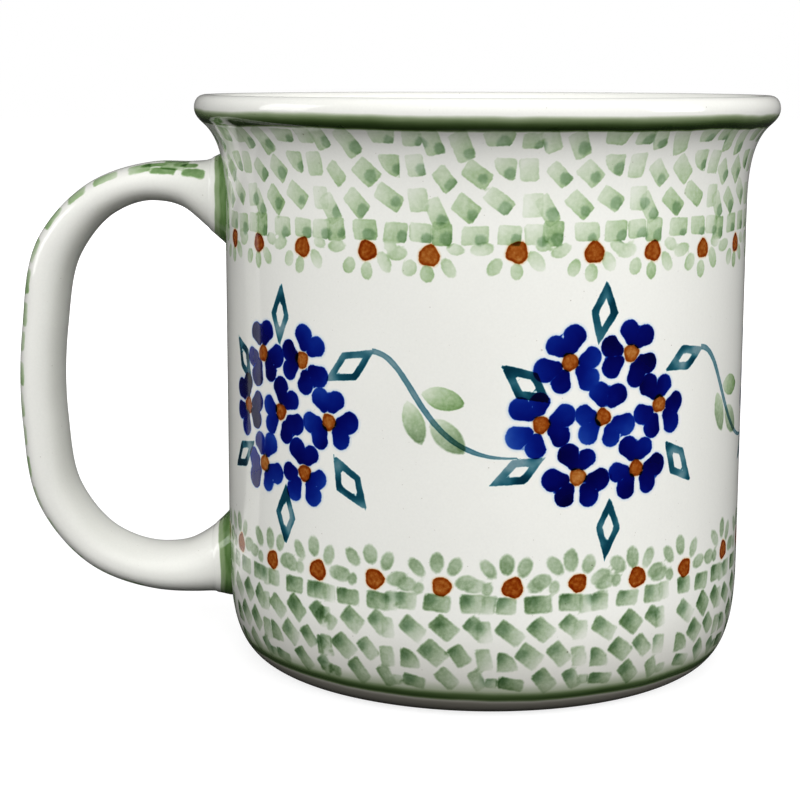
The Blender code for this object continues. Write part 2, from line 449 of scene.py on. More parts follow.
class Flowers:
    """Paints the clusters of blue florets, and keeps touching petals on separate layers."""

    def __init__(self, canvas, hand):
        self.canvas = canvas
        self.hand = hand
        self.petals = []

    def free_layer(self, x, y):
        """The petal layer whose own petals are farthest from here."""
        room = [99.0] * PETAL_LAYERS
        for other_x, other_y, layer in self.petals:
            room[layer] = min(room[layer], math.hypot(other_x - x, other_y - y))
        return room.index(max(room))

    def floret(self, x, y, turn):
        hand = self.hand
        amount = hand.uniform(1.35, 1.75)
        for third in range(3):
            direction = turn + 120.0 * third + hand.off(5.0)
            size = hand.uniform(0.96, 1.04)
            lopsided = hand.off(0.09)
            middle = polar(x, y, direction, 3.2)
            layer = self.free_layer(*middle)
            self.petals.append((*middle, layer))
            root = polar(x, y, direction, hand.uniform(-0.1, 0.15))
            paint = shaded(amount + hand.uniform(-0.2, 0.3), -0.13, hand.uniform(0.0, 180.0))
            shape = petal(size, lopsided)
            self.canvas.mark(f"petal_{layer}", *root, direction - 90.0, 6.5, shape, paint)
        dot = polar(x, y, hand.uniform(0.0, 360.0), hand.uniform(0.0, 0.35))
        round_dot = blob(1.36, 3, hand.uniform(0.0, 6.0))
        paint = even(hand.uniform(0.55, 0.85))
        self.canvas.mark("dot", *dot, 0.0, 2.2, round_dot, paint)

    def diamond(self, x, y, direction, distance, axis):
        """A hollow diamond; returns its outer tip."""
        hand = self.hand
        middle = polar(x, y, direction, distance)
        length, width = DIAMOND_SIZE
        length *= hand.uniform(0.98, 1.1)
        width *= hand.uniform(0.95, 1.1)
        lean = hand.uniform(-0.6, 0.3)
        corners = [
            (length, hand.off(0.4)),
            (lean + hand.off(0.4), width),
            (-length, hand.off(0.4)),
            (lean + hand.off(0.4), -width),
        ]
        solid = straight_sided(corners)
        stroke = DIAMOND_STROKE * hand.uniform(0.9, 1.1)
        paint = shaded(hand.uniform(1.0, 1.3), 0.12, hand.off(100.0))
        turn = axis + hand.off(3.0)
        self.canvas.mark("teal_outer", *middle, turn, 7.0, solid, paint)
        self.canvas.mark("teal_inner", *middle, turn, 7.0, lambda u, v: solid(u, v) + stroke)
        return polar(*middle, turn, length)

    def cluster(self, x, y, turn, diamonds):
        """One bunch of seven florets; returns the diamonds' outer tips."""
        for index, first in enumerate(FLORET_TURNS):
            spot = (x, y)
            if index:
                spot = polar(x, y, 60.0 * (index - 1) + turn, FLORET_SPACING)
            self.floret(*spot, first + turn)
        tips = []
        for direction, distance, axis in diamonds:
            tips.append(self.diamond(x, y, direction, distance, axis))
        return tips


def paint_vine(canvas, start, end):
    """A thin brushed line that drops from one cluster's diamond to the next one's."""
    run = end[0] - start[0]
    first_pull = (start[0] + 0.33 * run, start[1] + 0.2)
    last_pull = (end[0] - 0.68 * run, end[1] - 0.8)
    points = np.array([start] + bezier(start, first_pull, last_pull, end, 48))
    middle = 0.5 * (points.min(0) + points.max(0))
    reach = 0.5 * np.ptp(points, axis=0).max() + 3.0
    spot, right, rise = canvas.window(*middle, reach)
    right, rise = np.broadcast_arrays(right + middle[0], rise + middle[1])
    best = np.full(right.shape, FAR)
    offset = np.full(right.shape, 2.0)
    share = np.zeros(right.shape)
    lengths = np.hypot(*np.diff(points, axis=0).T)
    total = lengths.sum()
    travelled = 0.0
    for (x0, y0), (x1, y1), length in zip(points, points[1:], lengths):
        run = ((x1 - x0) / length, (y1 - y0) / length)
        along = np.clip((right - x0) * run[0] + (rise - y0) * run[1], 0.0, length)
        gap = np.hypot(right - x0 - along * run[0], rise - y0 - along * run[1])
        side = np.sign(run[0] * (rise - y0) - run[1] * (right - x0))
        nearer = gap < best
        best = np.where(nearer, gap, best)
        offset = np.where(nearer, gap * side, offset)
        share = np.where(nearer, (travelled + along) / total, share)
        travelled += length
    near = (best < 2.2) & (share > 0.0) & (share < 1.0)
    width = np.interp(share, (0.0, 0.45, 0.75, 0.9, 1.0), (0.42, 0.45, 0.37, 0.22, 0.12))
    offsets = canvas.layer("vine_offset")
    widths = canvas.layer("vine_width")
    offsets[spot] = np.where(near, offset, offsets[spot])
    widths[spot] = np.where(near, width, widths[spot])


LEAVES = (  # offset from the vine's middle, turn, half length, half width
    (3.2, 1.1, -9.0, 3.5, 1.75),
    (-1.3, -2.7, -71.0, 3.6, 1.65),
    (3.9, -4.6, -42.0, 3.7, 1.9),
)


def paint_leaves(canvas, hand, x, y):
    """Three leaves round the middle of a vine."""
    for index, (right, rise, turn, length, width) in enumerate(LEAVES):
        paint = shaded(hand.uniform(0.85, 1.0), 0.24, hand.uniform(-60.0, 10.0))
        turn += hand.off(5.0)
        shape = leaf(length, width)
        canvas.mark(f"green_{index}", x + right, y + rise, turn, 5.0, shape, paint)


def paint_tile(canvas, hand, layer, x, y, tile, amount, slope, blot):
    """One stamped tile; a blot is where the sponge left more paint, as on its heavy side."""
    _, _, turn, kind, size, strength = tile
    x += hand.off(0.25)
    y += hand.off(0.2)
    turn += hand.off(5.0)
    half_length = 0.5 * size[0] * hand.uniform(0.94, 1.08)
    half_width = 0.5 * size[1] * hand.uniform(0.94, 1.08)
    if kind == "quarter":
        shape = quarter(1.15 * size[0])
    elif kind == "wide":
        shape = tapering(half_length, half_width, 0.35)
    else:
        shape = box(half_length, half_width, 0.35, hand.off(0.12))
    heavy = math.degrees(math.atan2(blot[1], blot[0]))
    amount *= strength * hand.uniform(0.75, 1.2)
    paint = shaded(amount, slope, heavy - turn + hand.off(30.0))
    canvas.mark(f"green_{layer}", x, y, turn, 3.5, shape, paint)
    if hand.random() < 0.9 * strength:
        spot_x = x + blot[0] + hand.off(0.3)
        spot_y = y + blot[1] + hand.off(0.3)
        stain = blob(hand.uniform(*BLOT_RADII), 3, hand.uniform(0.0, 6.0))
        canvas.mark("blot", spot_x, spot_y, 0.0, 1.8, stain)


# A stamp's tiles, column by column: offsets from the stamp's first column and from the
# middle of the daisies' dots, turn, kind, size and how strongly it prints
TOP_TILES = (
    ((0.0, 3.0, 0.0, "box", (3.2, 3.6), 1.5), (-0.8, 6.4, -62.0, "box", (4.6, 2.4), 1.0),
     (0.6, 11.5, -50.0, "box", (3.7, 2.5), 1.0), (-1.1, 16.8, -72.0, "box", (3.8, 2.6), 0.8)),
    ((5.3, 3.2, 0.0, "box", (4.0, 2.9), 1.0), (3.8, 7.1, -43.0, "box", (4.2, 2.8), 1.1),
     (5.5, 11.8, -42.0, "box", (4.1, 3.0), 1.0), (3.4, 16.3, -66.0, "box", (4.2, 2.8), 0.9)),
    ((10.2, 3.2, 0.0, "box", (3.7, 2.9), 1.0), (8.9, 8.1, -36.0, "box", (4.3, 2.7), 1.0),
     (9.4, 13.1, 0.0, "quarter", (2.9, 2.9), 1.0), (8.7, 17.2, -2.0, "wide", (4.4, 2.1), 0.9)),
    ((14.0, 3.2, 0.0, "box", (3.2, 2.9), 0.75), (13.9, 7.7, 0.0, "box", (3.0, 3.5), 0.6),
     (13.2, 12.9, 0.0, "box", (2.8, 3.5), 0.65), (13.1, 17.2, 0.0, "box", (2.9, 2.4), 0.8)),
)
BOTTOM_TILES = (
    ((0.0, -2.9, 0.0, "box", (3.2, 2.5), 0.85), (0.8, -7.3, -36.0, "box", (4.3, 2.6), 0.8),
     (0.2, -12.1, 180.0, "quarter", (2.8, 2.8), 1.0), (1.0, -15.8, -8.0, "box", (3.9, 1.9), 1.0)),
    ((5.0, -3.0, 0.0, "box", (4.0, 2.5), 1.2), (5.8, -6.8, -42.0, "box", (3.9, 2.9), 1.1),
     (4.1, -11.1, -42.0, "box", (4.0, 2.9), 1.0), (6.4, -15.2, -50.0, "box", (3.9, 2.6), 0.9)),
    ((10.4, -2.9, 0.0, "box", (4.0, 2.7), 1.0), (10.6, -6.7, -44.0, "box", (3.5, 2.6), 1.0),
     (8.4, -11.0, -50.0, "box", (3.7, 2.5), 1.0), (11.2, -15.3, -60.0, "box", (3.4, 2.1), 0.8)),
    ((12.6, -3.0, 0.0, "box", (2.2, 2.8), 0.5), (12.0, -7.2, 0.0, "box", (2.2, 3.2), 0.45),
     (11.9, -11.8, 0.0, "box", (2.3, 3.3), 0.6), (13.0, -15.8, 0.0, "box", (2.0, 1.6), 0.5)),
)


def paint_stamp(canvas, hand, index, x, y, tiles, amount, slope, blot):
    """The four columns of tiles that one stamp prints."""
    for column, tile_column in enumerate(tiles):
        for row, tile in enumerate(tile_column):
            layer = (index + column + row) % GREEN_LAYERS
            spot = (x + tile[0], y + tile[1])
            paint_tile(canvas, hand, layer, *spot, tile, amount, slope, blot)


# A daisy's petals: offset from the dot, turn, half length, half width, paint
TOP_DAISY = (
    (-3.2, -2.1, 60.0, 1.35, 1.05, 0.50),
    (-0.3, -2.8, 90.0, 1.35, 1.00, 0.65),
    (2.7, -1.6, -55.0, 1.70, 1.05, 0.42),
    (-5.2, 0.3, 15.0, 1.70, 1.00, 0.45),
    (3.7, 0.8, -15.0, 1.35, 0.90, 0.40),
)
BOTTOM_DAISY = (
    (-0.9, 3.6, 95.0, 1.65, 1.10, 1.05),
    (2.1, 3.0, 66.0, 1.55, 0.98, 0.90),
    (-3.9, 2.8, 132.0, 1.65, 1.02, 0.90),
    (3.9, 0.5, 15.0, 1.70, 1.12, 0.85),
    (-5.8, 0.3, 5.0, 1.70, 1.12, 0.85),
    (-3.9, -0.2, 80.0, 1.00, 0.85, 0.85),
)


def paint_daisy(canvas, hand, index, x, y, petals):
    """A rust-brown dot with green petals round one half."""
    for number, (right, rise, turn, length, width, amount) in enumerate(petals):
        layer = (index + number) % GREEN_LAYERS
        shape = oval(length * hand.uniform(0.92, 1.08), width * hand.uniform(0.92, 1.08))
        paint = shaded(amount * hand.uniform(0.75, 1.25), 0.16, hand.off(180.0))
        spot = (x + right + hand.off(0.3), y + rise + hand.off(0.3))
        canvas.mark(f"green_{layer}", *spot, turn + hand.off(10.0), 2.5, shape, paint)
    paint = even(hand.uniform(0.72, 0.95))
    round_dot = blob(1.55 * hand.uniform(0.93, 1.08), 3, hand.uniform(0.0, 6.0))
    canvas.mark("dot", x, y, 0.0, 2.5, round_dot, paint)


def around_the_wall(hand, angles, step):
    """The stamps' angles, carried on round the back with an unsteady hand."""
    angles = list(angles)
    left = 360.0 - (angles[-1] - angles[0])
    count = round(left / step)
    last = angles[-1]
    for index in range(1, count):
        angles.append(last + left * index / count + hand.off(1.3))
    return angles


def paint_stamps(canvas, hand, angles, y, tiles, amount, slope, blot):
    """A ring of stamped tiles."""
    for index, angle in enumerate(angles):
        height = y + hand.off(0.3)
        paint_stamp(canvas, hand, index, along_wall(angle), height, tiles, amount, slope, blot)


def paint_daisies(canvas, hand, angles, y, petals):
    """A ring of daisies."""
    for index, angle in enumerate(angles):
        paint_daisy(canvas, hand, index, along_wall(angle), y + hand.off(0.4), petals)


def paint_wall(columns, heights):
    """All the painting between the lip and the foot."""
    around = 2.0 * math.pi * WALL_RADIUS
    canvas = Canvas(columns, heights, around)
    hand = Hand(7)
    flowers = Flowers(canvas, hand)
    tips = []
    for index, (angle, height, turn) in enumerate(CLUSTERS):
        diamonds = DIAMOND_SETS[index % 2]
        tips.append(flowers.cluster(along_wall(angle), height, turn, diamonds))
    for before, after in zip(tips, tips[1:]):
        start = (before[1][0] - 1.0, before[1][1] - 0.1)
        end = (after[4][0] + 4.0, after[4][1] + 4.5)
        paint_vine(canvas, start, end)
        middle = (0.63 * start[0] + 0.37 * end[0], 0.5 * (start[1] + end[1]))
        paint_leaves(canvas, hand, *middle)
    stamps = around_the_wall(hand, TOP_STAMPS, TOP_STAMP_STEP)
    paint_stamps(canvas, hand, stamps, TOP_DAISY_HEIGHT, TOP_TILES, *TOP_PRINT)
    daisies = around_the_wall(hand, TOP_DAISIES, TOP_DAISY_STEP)
    paint_daisies(canvas, hand, daisies, TOP_DAISY_HEIGHT, TOP_DAISY)
    stamps = around_the_wall(hand, BOTTOM_STAMPS, BOTTOM_STAMP_STEP)
    paint_stamps(canvas, hand, stamps, BOTTOM_DAISY_HEIGHT, BOTTOM_TILES, *BOTTOM_PRINT)
    daisies = around_the_wall(hand, BOTTOM_DAISIES, BOTTOM_DAISY_STEP)
    paint_daisies(canvas, hand, daisies, BOTTOM_DAISY_HEIGHT, BOTTOM_DAISY)
    return canvas


# ---------------------------------------------------------------- meshes


def new_object(name, points, faces, layers=None):
    """A smooth-shaded object from points in millimetres, with its point attributes."""
    mesh = bpy.data.meshes.new(name)
    mesh.from_pydata((np.asarray(points) * MM).tolist(), [], faces)
    mesh.validate()
    mesh.shade_smooth()
    for layer, values in (layers or {}).items():
        attribute = mesh.attributes.new(layer, "FLOAT_VECTOR", "POINT")
        attribute.data.foreach_set("vector", np.asarray(values, np.float32).ravel())
    made = bpy.data.objects.new(name, mesh)
    bpy.context.scene.collection.objects.link(made)
    return made


def stack(*values):
    """Rows of three numbers, one from each array."""
    return np.stack(values, axis=-1).reshape(-1, 3)


def grid_faces(rows, columns):
    """Quads between rows of points that run all the way round."""
    low = np.arange(rows - 1)[:, None] * columns
    here = np.arange(columns)[None, :]
    after = (here + 1) % columns
    corners = (low + here, low + after, low + after + columns, low + here + columns)
    return np.stack(corners, axis=-1).reshape(-1, 4)


def bake_layout(mesh, rows, columns, arcs, painted):
    """UVs for baking: the painted wall as two big strips, the rest in a narrow column."""
    first, last = painted
    half = columns // 2
    strip_width, strip_height, column_start = 0.70, 0.465, 0.73
    wall_arc = arcs[last] - arcs[first]
    plain_arc = arcs[-1] - wall_arc
    row = np.repeat(np.arange(rows - 1), columns)
    column = np.tile(np.arange(columns), rows - 1)
    uv = np.zeros((len(row), 4, 2))
    for corner, (up, right) in enumerate(((0, 0), (0, 1), (1, 1), (1, 0))):
        arc = arcs[row + up]
        on_wall = (row >= first) & (row < last)
        strip = column // half
        across = (column - strip * half + right) / half
        share = (arc - arcs[first]) / wall_arc
        wall_u = 0.01 + strip_width * across
        wall_v = 0.01 + strip * 0.5 + strip_height * share
        plain = np.where(row < first, arc, arc - wall_arc) / plain_arc
        plain_u = column_start + (0.99 - column_start) * plain
        plain_v = 0.01 + 0.98 * (column + right) / columns
        uv[:, corner, 0] = np.where(on_wall, wall_u, plain_u)
        uv[:, corner, 1] = np.where(on_wall, wall_v, plain_v)
    layer = mesh.uv_layers.new(name="OFBake")
    layer.data.foreach_set("uv", uv.reshape(-1).astype(np.float32))


def make_body():
    """The turned body, with the painting stored on its points."""
    low, wall, high = underside(), outside(), inside()
    profile = np.concatenate([low[:-1], wall, high])
    axis_radius = 0.05  # the two pole rings are this small
    profile[0, 0] = axis_radius
    profile[-1, 0] = axis_radius
    rows = len(profile)
    first = len(low) - 1
    last = first + len(wall) - 1
    angles = math.radians(HANDLE_ANGLE) + 2.0 * math.pi * np.arange(WALL_COLUMNS) / WALL_COLUMNS
    radius, height = profile[:, 0][:, None], profile[:, 1][:, None]
    points = stack(radius * np.sin(angles), -radius * np.cos(angles), height + 0.0 * angles)
    faces = grid_faces(rows, WALL_COLUMNS)
    layers = body_layers(profile, rows, first, last, angles)
    made = new_object("glazed_mug_body", points, faces.tolist(), layers)
    arcs = np.concatenate(([0.0], np.cumsum(np.hypot(*np.diff(profile, axis=0).T))))
    bake_layout(made.data, rows, WALL_COLUMNS, arcs, (first, last))
    poles = (0, (rows - 1) * WALL_COLUMNS)
    close_up(made.data, [range(first, first + WALL_COLUMNS) for first in poles])
    return made


def close_up(mesh, open_rings=()):
    """Gives each open ring of points a face, and turns every face outwards."""
    solid = bmesh.new()
    solid.from_mesh(mesh)
    solid.verts.ensure_lookup_table()
    for ring in open_rings:
        bmesh.ops.contextual_create(solid, geom=[solid.verts[index] for index in ring])
    bmesh.ops.recalc_face_normals(solid, faces=solid.faces)
    for face in solid.faces:
        face.smooth = True
    solid.to_mesh(mesh)
    solid.free()


PACKED_LAYERS = {
    "petals_a": ("petal_0", "petal_1", "petal_2"),
    "petals_b": ("petal_3", "petal_4", "petal_load"),
    "teal": ("teal_outer", "teal_inner", "teal_load"),
    "vine": ("vine_offset", "vine_width", "blot"),
    "greens": ("green_0", "green_1", "green_2"),
    "dots": ("dot", "dot_load", "green_load"),
}


def body_layers(profile, rows, first, last, angles):
    """The canvas's layers, three to an attribute, on every row of the body."""
    painted = slice(first, last + 1)
    canvas = paint_wall(angles * WALL_RADIUS, profile[painted, 1])

    def full(name):
        values = np.full((rows, WALL_COLUMNS), empty_value(name))
        values[painted] = canvas.layer(name)
        return np.clip(values, -FAR, FAR)

    outer, bare, nothing = np.zeros((3, rows, WALL_COLUMNS))
    outer[painted] = 1.0
    ring_edge = FOOT_RADIUS - FOOT_RING_WIDTH - 1.0
    bare[(profile[:, 1] < 0.35) & (profile[:, 0] > ring_edge)] = 1.0
    packed = {name: stack(*map(full, layers)) for name, layers in PACKED_LAYERS.items()}
    packed["zones"] = stack(outer, bare, nothing)
    return packed


def knot_tangents(knots, lengths):
    slopes = [(b - a) / length for a, b, length in zip(knots, knots[1:], lengths)]
    tangents = [slopes[0]]
    for index in range(1, len(knots) - 1):
        before, after = lengths[index - 1], lengths[index]
        share = before / (before + after)
        tangents.append(slopes[index - 1] + (slopes[index] - slopes[index - 1]) * share)
    tangents.append(slopes[-1])
    return tangents


def handle_path():
    """A function of 0..1 that gives (distance, height, half thickness, half width)."""
    knots = [np.array(knot) for knot in HANDLE_KNOTS]
    lengths = [math.dist(a[:2], b[:2]) for a, b in zip(knots, knots[1:])]
    tangents = knot_tangents(knots, lengths)

    def at(share):
        position = min(max(share, 0.0), 1.0) * len(lengths)
        index = min(int(position), len(lengths) - 1)
        t = position - index
        length = lengths[index]
        return (
            (2 * t**3 - 3 * t**2 + 1) * knots[index]
            + (t**3 - 2 * t**2 + t) * length * tangents[index]
            + (3 * t**2 - 2 * t**3) * knots[index + 1]
            + (t**3 - t**2) * length * tangents[index + 1]
        )

    return at


def share_at_distance(path, distance, low, high):
    """Where the path, rising or falling steadily from low to high, is this far out."""
    rising = path(high)[0] > path(low)[0]
    for _ in range(50):
        middle = 0.5 * (low + high)
        if (path(middle)[0] < distance) == rising:
            low = middle
        else:
            high = middle
    return 0.5 * (low + high)


def section(path, share, swell=0.0):
    """One ring of the strap, swollen outwards by a little."""
    step = 1e-4
    distance, height, half_thickness, half_width = path(share)
    run = path(min(share + step, 1.0))[:2] - path(max(share - step, 0.0))[:2]
    run /= math.hypot(*run)
    across = np.array((-run[1], run[0]))
    bend = 1.0 - min(max((distance - WALL_RADIUS) / ROOT_BLEND, 0.0), 1.0)
    bend = bend * bend * (3.0 - 2.0 * bend)
    upright = np.array((0.0, math.copysign(1.0, across[1])))
    across = across + (upright - across) * bend
    power = 2.0 / SECTION_ROUNDNESS
    angles = 2.0 * math.pi * np.arange(SECTION_POINTS) / SECTION_POINTS
    cosine, sine = np.cos(angles), np.sin(angles)
    side = np.sign(cosine) * np.abs(cosine) ** power * (half_width + swell)
    rise = np.sign(sine) * np.abs(sine) ** power * (half_thickness + swell)
    reach = np.sqrt(distance**2 - side**2)
    out = distance + (reach - distance) * bend + across[0] * rise
    return np.column_stack([-out, side, height + across[1] * rise])


def tube(name, rings, layers):
    """A closed solid through the rings."""
    rings = list(rings)
    points = np.concatenate(rings)
    faces = grid_faces(len(rings), SECTION_POINTS).tolist()
    count = len(points)
    faces.append(list(range(SECTION_POINTS))[::-1])
    faces.append(list(range(count - SECTION_POINTS, count)))
    made = new_object(name, points, faces, layers)
    close_up(made.data)
    made.data.set_sharp_from_angle(angle=math.radians(60.0))
    return made


def paint_handle(along, around):
    """Rows of stamped dashes down the strap's outer face."""
    canvas = Canvas(around, along)
    hand = Hand(3)
    count = int((along[-1] - 12.0) / DASH_PITCH)
    for row, lateral in enumerate(DASH_ROWS):
        for index in range(count):
            y = 7.0 + DASH_PITCH * (index + 0.5 * (row == 1)) + hand.off(0.3)
            half_size = (1.75 * hand.uniform(0.9, 1.15), 1.5 * hand.uniform(0.9, 1.1))
            shape = box(*half_size, 0.4, hand.off(0.15))
            paint = shaded(hand.uniform(0.3, 0.9), 0.18, hand.uniform(0.0, 360.0))
            layer = f"dash_{(index + row) % 2}"
            x = lateral + hand.off(0.3)
            canvas.mark(layer, x, y, 90.0 + hand.off(6.0), 3.0, shape, paint)
    for extra in range(5):
        x, y = 6.2 - 2.1 * (extra % 3), 3.4 + 1.6 * extra
        canvas.mark(f"dash_{extra % 2}", x, y, 90.0, 3.0, box(1.9, 0.8, 0.4), even(1.5))
    return canvas


def make_handle(path):
    """The strap between its two beads of slip."""
    start = share_at_distance(path, HANDLE_END, *UPPER_ROOT)
    finish = share_at_distance(path, HANDLE_END, *LOWER_ROOT)
    fine = np.linspace(start, finish, 1500)
    centres = np.array([path(share)[:2] for share in fine])
    along = np.concatenate(([0.0], np.cumsum(np.hypot(*np.diff(centres, axis=0).T))))
    rows = round(along[-1] / HANDLE_RING) + 1
    lengths = np.linspace(0.0, along[-1], rows)
    shares = np.interp(lengths, along, fine)
    rings = [section(path, share) for share in shares]
    middle = rings[rows // 2]
    edges = np.linalg.norm(np.roll(middle, -1, axis=0) - middle, axis=1)
    travelled = np.concatenate(([0.0], np.cumsum(edges)[:-1]))
    perimeter = edges.sum()
    around = travelled - travelled[SECTION_POINTS // 4]  # from the outer face's middle
    around = (around + 0.5 * perimeter) % perimeter - 0.5 * perimeter
    canvas = paint_handle(lengths, around)
    layers = [np.clip(canvas.layer(name), -FAR, FAR) for name in ("dash_0", "dash_1", "dash_load")]
    return tube("glazed_handle", rings, {"dashes": stack(*layers)})


def make_bead(path, name, low, high):
    """The painted bead of slip where one end of the strap meets the wall."""
    rings = []
    layers = []
    for step in range(BEAD_RINGS + 1):
        share = step / BEAD_RINGS
        distance = WALL_RADIUS + (BEAD_EDGE - WALL_RADIUS) * share
        edge = min(1.0, (1.0 - share) / 0.22)
        swell = BEAD_SWELL * math.sin(0.5 * math.pi * edge) - 0.06 * (1.0 - edge)
        ring = section(path, share_at_distance(path, distance, low, high), swell)
        rings.append(ring)
        layers.append(np.tile((share, 0.0, 0.0), (SECTION_POINTS, 1)))
    sunk = rings[0] + np.array((BEAD_DEPTH, 0.0, 0.0))
    rings.insert(0, sunk)
    layers.insert(0, layers[0])
    return tube(name, rings, {"bead": np.concatenate(layers)})


# ---------------------------------------------------------------- materials


OVERLAP_SHARE = 0.32  # how much a second stamp adds where two overlap
GLAZE = (0.805, 0.805, 0.762)
IRON = (0.25, 0.20, 0.15)
COBALT = (0.0012, 0.012, 0.235)
TEAL_WASH = (0.240, 0.380, 0.445)
TEAL = (0.022, 0.175, 0.250)
GREEN = (0.345, 0.500, 0.268)
FOOT_GREEN = (0.380, 0.490, 0.335)  # the same colour where the glaze ran thicker
BLOT_GREEN = (0.375, 0.500, 0.392)
SIENNA = (0.27, 0.048, 0.0035)
OLIVE = (0.19, 0.26, 0.13)
# The next tint is also painted shade: it darkens the bevel and the low wall towards the table,
# besides the clay that shows through the thin glaze.
CLAY_AND_SHADE_TINT = (0.36, 0.345, 0.315)  # what shows through the thin glaze under the foot's line
BARE_CLAY = (0.42, 0.36, 0.28)
PALE_CLAY = (0.55, 0.49, 0.40)
WHITE = (1.0, 1.0, 1.0)
SPECKS = ((1.0, 0.10, 0.30), (4.5, 0.20, 0.45))  # spacing, largest radius, darkness


class Value:
    """A node's output. Arithmetic on it adds math nodes to its graph."""

    def __init__(self, graph, socket):
        self.graph = graph
        self.socket = socket

    def __add__(self, other):
        return self.graph.math("ADD", self, other)

    def __mul__(self, other):
        return self.graph.math("MULTIPLY", self, other)

    def __sub__(self, other):
        return self.graph.math("SUBTRACT", self, other)

    def __rsub__(self, other):
        return self.graph.math("SUBTRACT", other, self)

    def __truediv__(self, other):
        return self.graph.math("DIVIDE", self, other)

    def __abs__(self):
        return self.graph.math("ABSOLUTE", self)

    __radd__ = __add__
    __rmul__ = __mul__


class Graph:
    """The nodes of a material or of the world. Its methods take values or plain numbers."""

    def __init__(self, owner):
        owner.use_nodes = True
        self.owner = owner
        self.nodes = owner.node_tree.nodes
        self.links = owner.node_tree.links
        self.nodes.clear()
        self.place = self.scaled(self.value("ShaderNodeTexCoord", output="Object"), 1.0 / MM)

    def feed(self, socket, value):
        if isinstance(value, Value):
            self.links.new(value.socket, socket)
        elif isinstance(value, tuple) and socket.type == "RGBA":
            socket.default_value = (*value, 1.0)
        else:
            socket.default_value = value

    def add(self, kind, inputs=None, **settings):
        """A new node, with its settings made and its inputs fed."""
        node = self.nodes.new(kind)
        for name, setting in settings.items():
            setattr(node, name, setting)
        for name, value in (inputs or {}).items():
            self.feed(node.inputs[name], value)
        return node

    def value(self, kind, inputs=None, output=0, **settings):
        """One output of a new node."""
        return Value(self, self.add(kind, inputs, **settings).outputs[output])

    def math(self, operation, *values):
        return self.value("ShaderNodeMath", dict(enumerate(values)), operation=operation)

    def vector(self, operation, *values, output="Vector"):
        inputs = dict(enumerate(values))
        return self.value("ShaderNodeVectorMath", inputs, output, operation=operation)

    def scaled(self, vector, scale):
        inputs = {0: vector, "Scale": scale}
        return self.value("ShaderNodeVectorMath", inputs, operation="SCALE")

    def highest(self, first, *others):
        for other in others:
            first = self.math("MAXIMUM", first, other)
        return first

    def lowest(self, first, *others):
        for other in others:
            first = self.math("MINIMUM", first, other)
        return first

    def mix(self, share, first, second):
        """A colour between two colours."""
        inputs = {"Factor": share, 6: first, 7: second}
        return self.value("ShaderNodeMix", inputs, output=2, data_type="RGBA")

    def blend(self, share, first, second):
        """A number between two numbers."""
        return (1.0 - share) * first + share * second

    def step(self, value, low, high):
        """0 at low and 1 at high, smooth between; low may be above high."""
        inputs = {"Value": value, "From Min": min(low, high), "From Max": max(low, high)}
        inputs["To Min"], inputs["To Max"] = (1.0, 0.0) if low > high else (0.0, 1.0)
        return self.value("ShaderNodeMapRange", inputs, interpolation_type="SMOOTHSTEP")

    def noise(self, size, detail=2.0, stretch=(1.0, 1.0, 1.0), shift=0.0):
        """Noise around 0.5 whose grains are about this many millimetres."""
        place = self.vector("MULTIPLY", self.place, stretch)
        place = self.vector("ADD", place, (shift, shift, shift))
        inputs = {"Vector": place, "Scale": 1.0 / size, "Detail": detail}
        return self.value("ShaderNodeTexNoise", inputs)

    def split(self, vector):
        """The three numbers of a vector."""
        parts = self.add("ShaderNodeSeparateXYZ", {0: vector}).outputs
        return [Value(self, part) for part in parts]

    def attribute(self, name):
        """The three numbers that the mesh carries under this name."""
        vector = self.value("ShaderNodeAttribute", output="Vector", attribute_name=name)
        return self.split(vector)

    def paint(self, under, colour, load):
        """Glassy paint over a colour: the thicker it is, the more light it takes."""
        power = self.value("ShaderNodeCombineXYZ", {"X": load, "Y": load, "Z": load})
        return self.vector("MULTIPLY", under, self.vector("POWER", colour, power))

    def surface(self, colour, roughness, height):
        """Ends the material with its glossy coat, whose relief is in millimetres."""
        relief = {"Strength": 1.0, "Distance": MM, "Height": height}
        inputs = {
            "Base Color": colour,
            "Roughness": roughness,
            "Normal": self.value("ShaderNodeBump", relief),
            "IOR": 1.5,
        }
        coat = self.value("ShaderNodeBsdfPrincipled", inputs)
        self.add("ShaderNodeOutputMaterial", {"Surface": coat})
        return self.owner


def around_half(noise, amount):
    """Noise turned into -amount..amount."""
    return (noise - 0.5) * (2.0 * amount)


def speckles(graph, spacing, radius, dark):
    """How strongly iron specks show: about one per spacing, none wider than the radius."""
    cells = graph.add("ShaderNodeTexVoronoi", {"Vector": graph.place, "Scale": 1.0 / spacing})
    chance, darkness, _ = graph.split(Value(graph, cells.outputs["Color"]))
    reach = (chance - 0.4) * (radius / 0.6 / spacing)
    beyond = Value(graph, cells.outputs["Distance"]) - reach
    softness = 0.03 / spacing
    return graph.step(beyond, softness, -softness) * (darkness * (2.0 * dark))


def glaze_ground(graph):
    """The white glaze: soft changes of tone and a few tiny iron specks."""
    tone = around_half(graph.noise(22.0), 0.03)
    grain = around_half(graph.noise(0.4, 3.0, shift=9.0), 0.035)
    colour = graph.scaled(GLAZE, tone + grain + 1.0)
    for spacing, radius, dark in SPECKS:
        colour = graph.mix(speckles(graph, spacing, radius, dark), colour, IRON)
    return colour


def glaze_relief(graph, paint):
    """Height in millimetres of the fired glaze: slow waves, orange peel, raised paint."""
    waves = graph.noise(14.0, 1.0, shift=3.0) * 0.10
    peel = graph.noise(1.3, 1.0, shift=5.0) * 0.0035
    return waves + peel + paint * 0.012


def glaze_roughness(graph):
    return graph.noise(3.0, shift=17.0) * 0.05 + 0.055


def coverage(graph, distance, wobble, softness):
    """1 inside a mark and 0 outside it, with an unsteady edge."""
    return graph.step((distance + wobble) / softness, 1.0, -1.0)


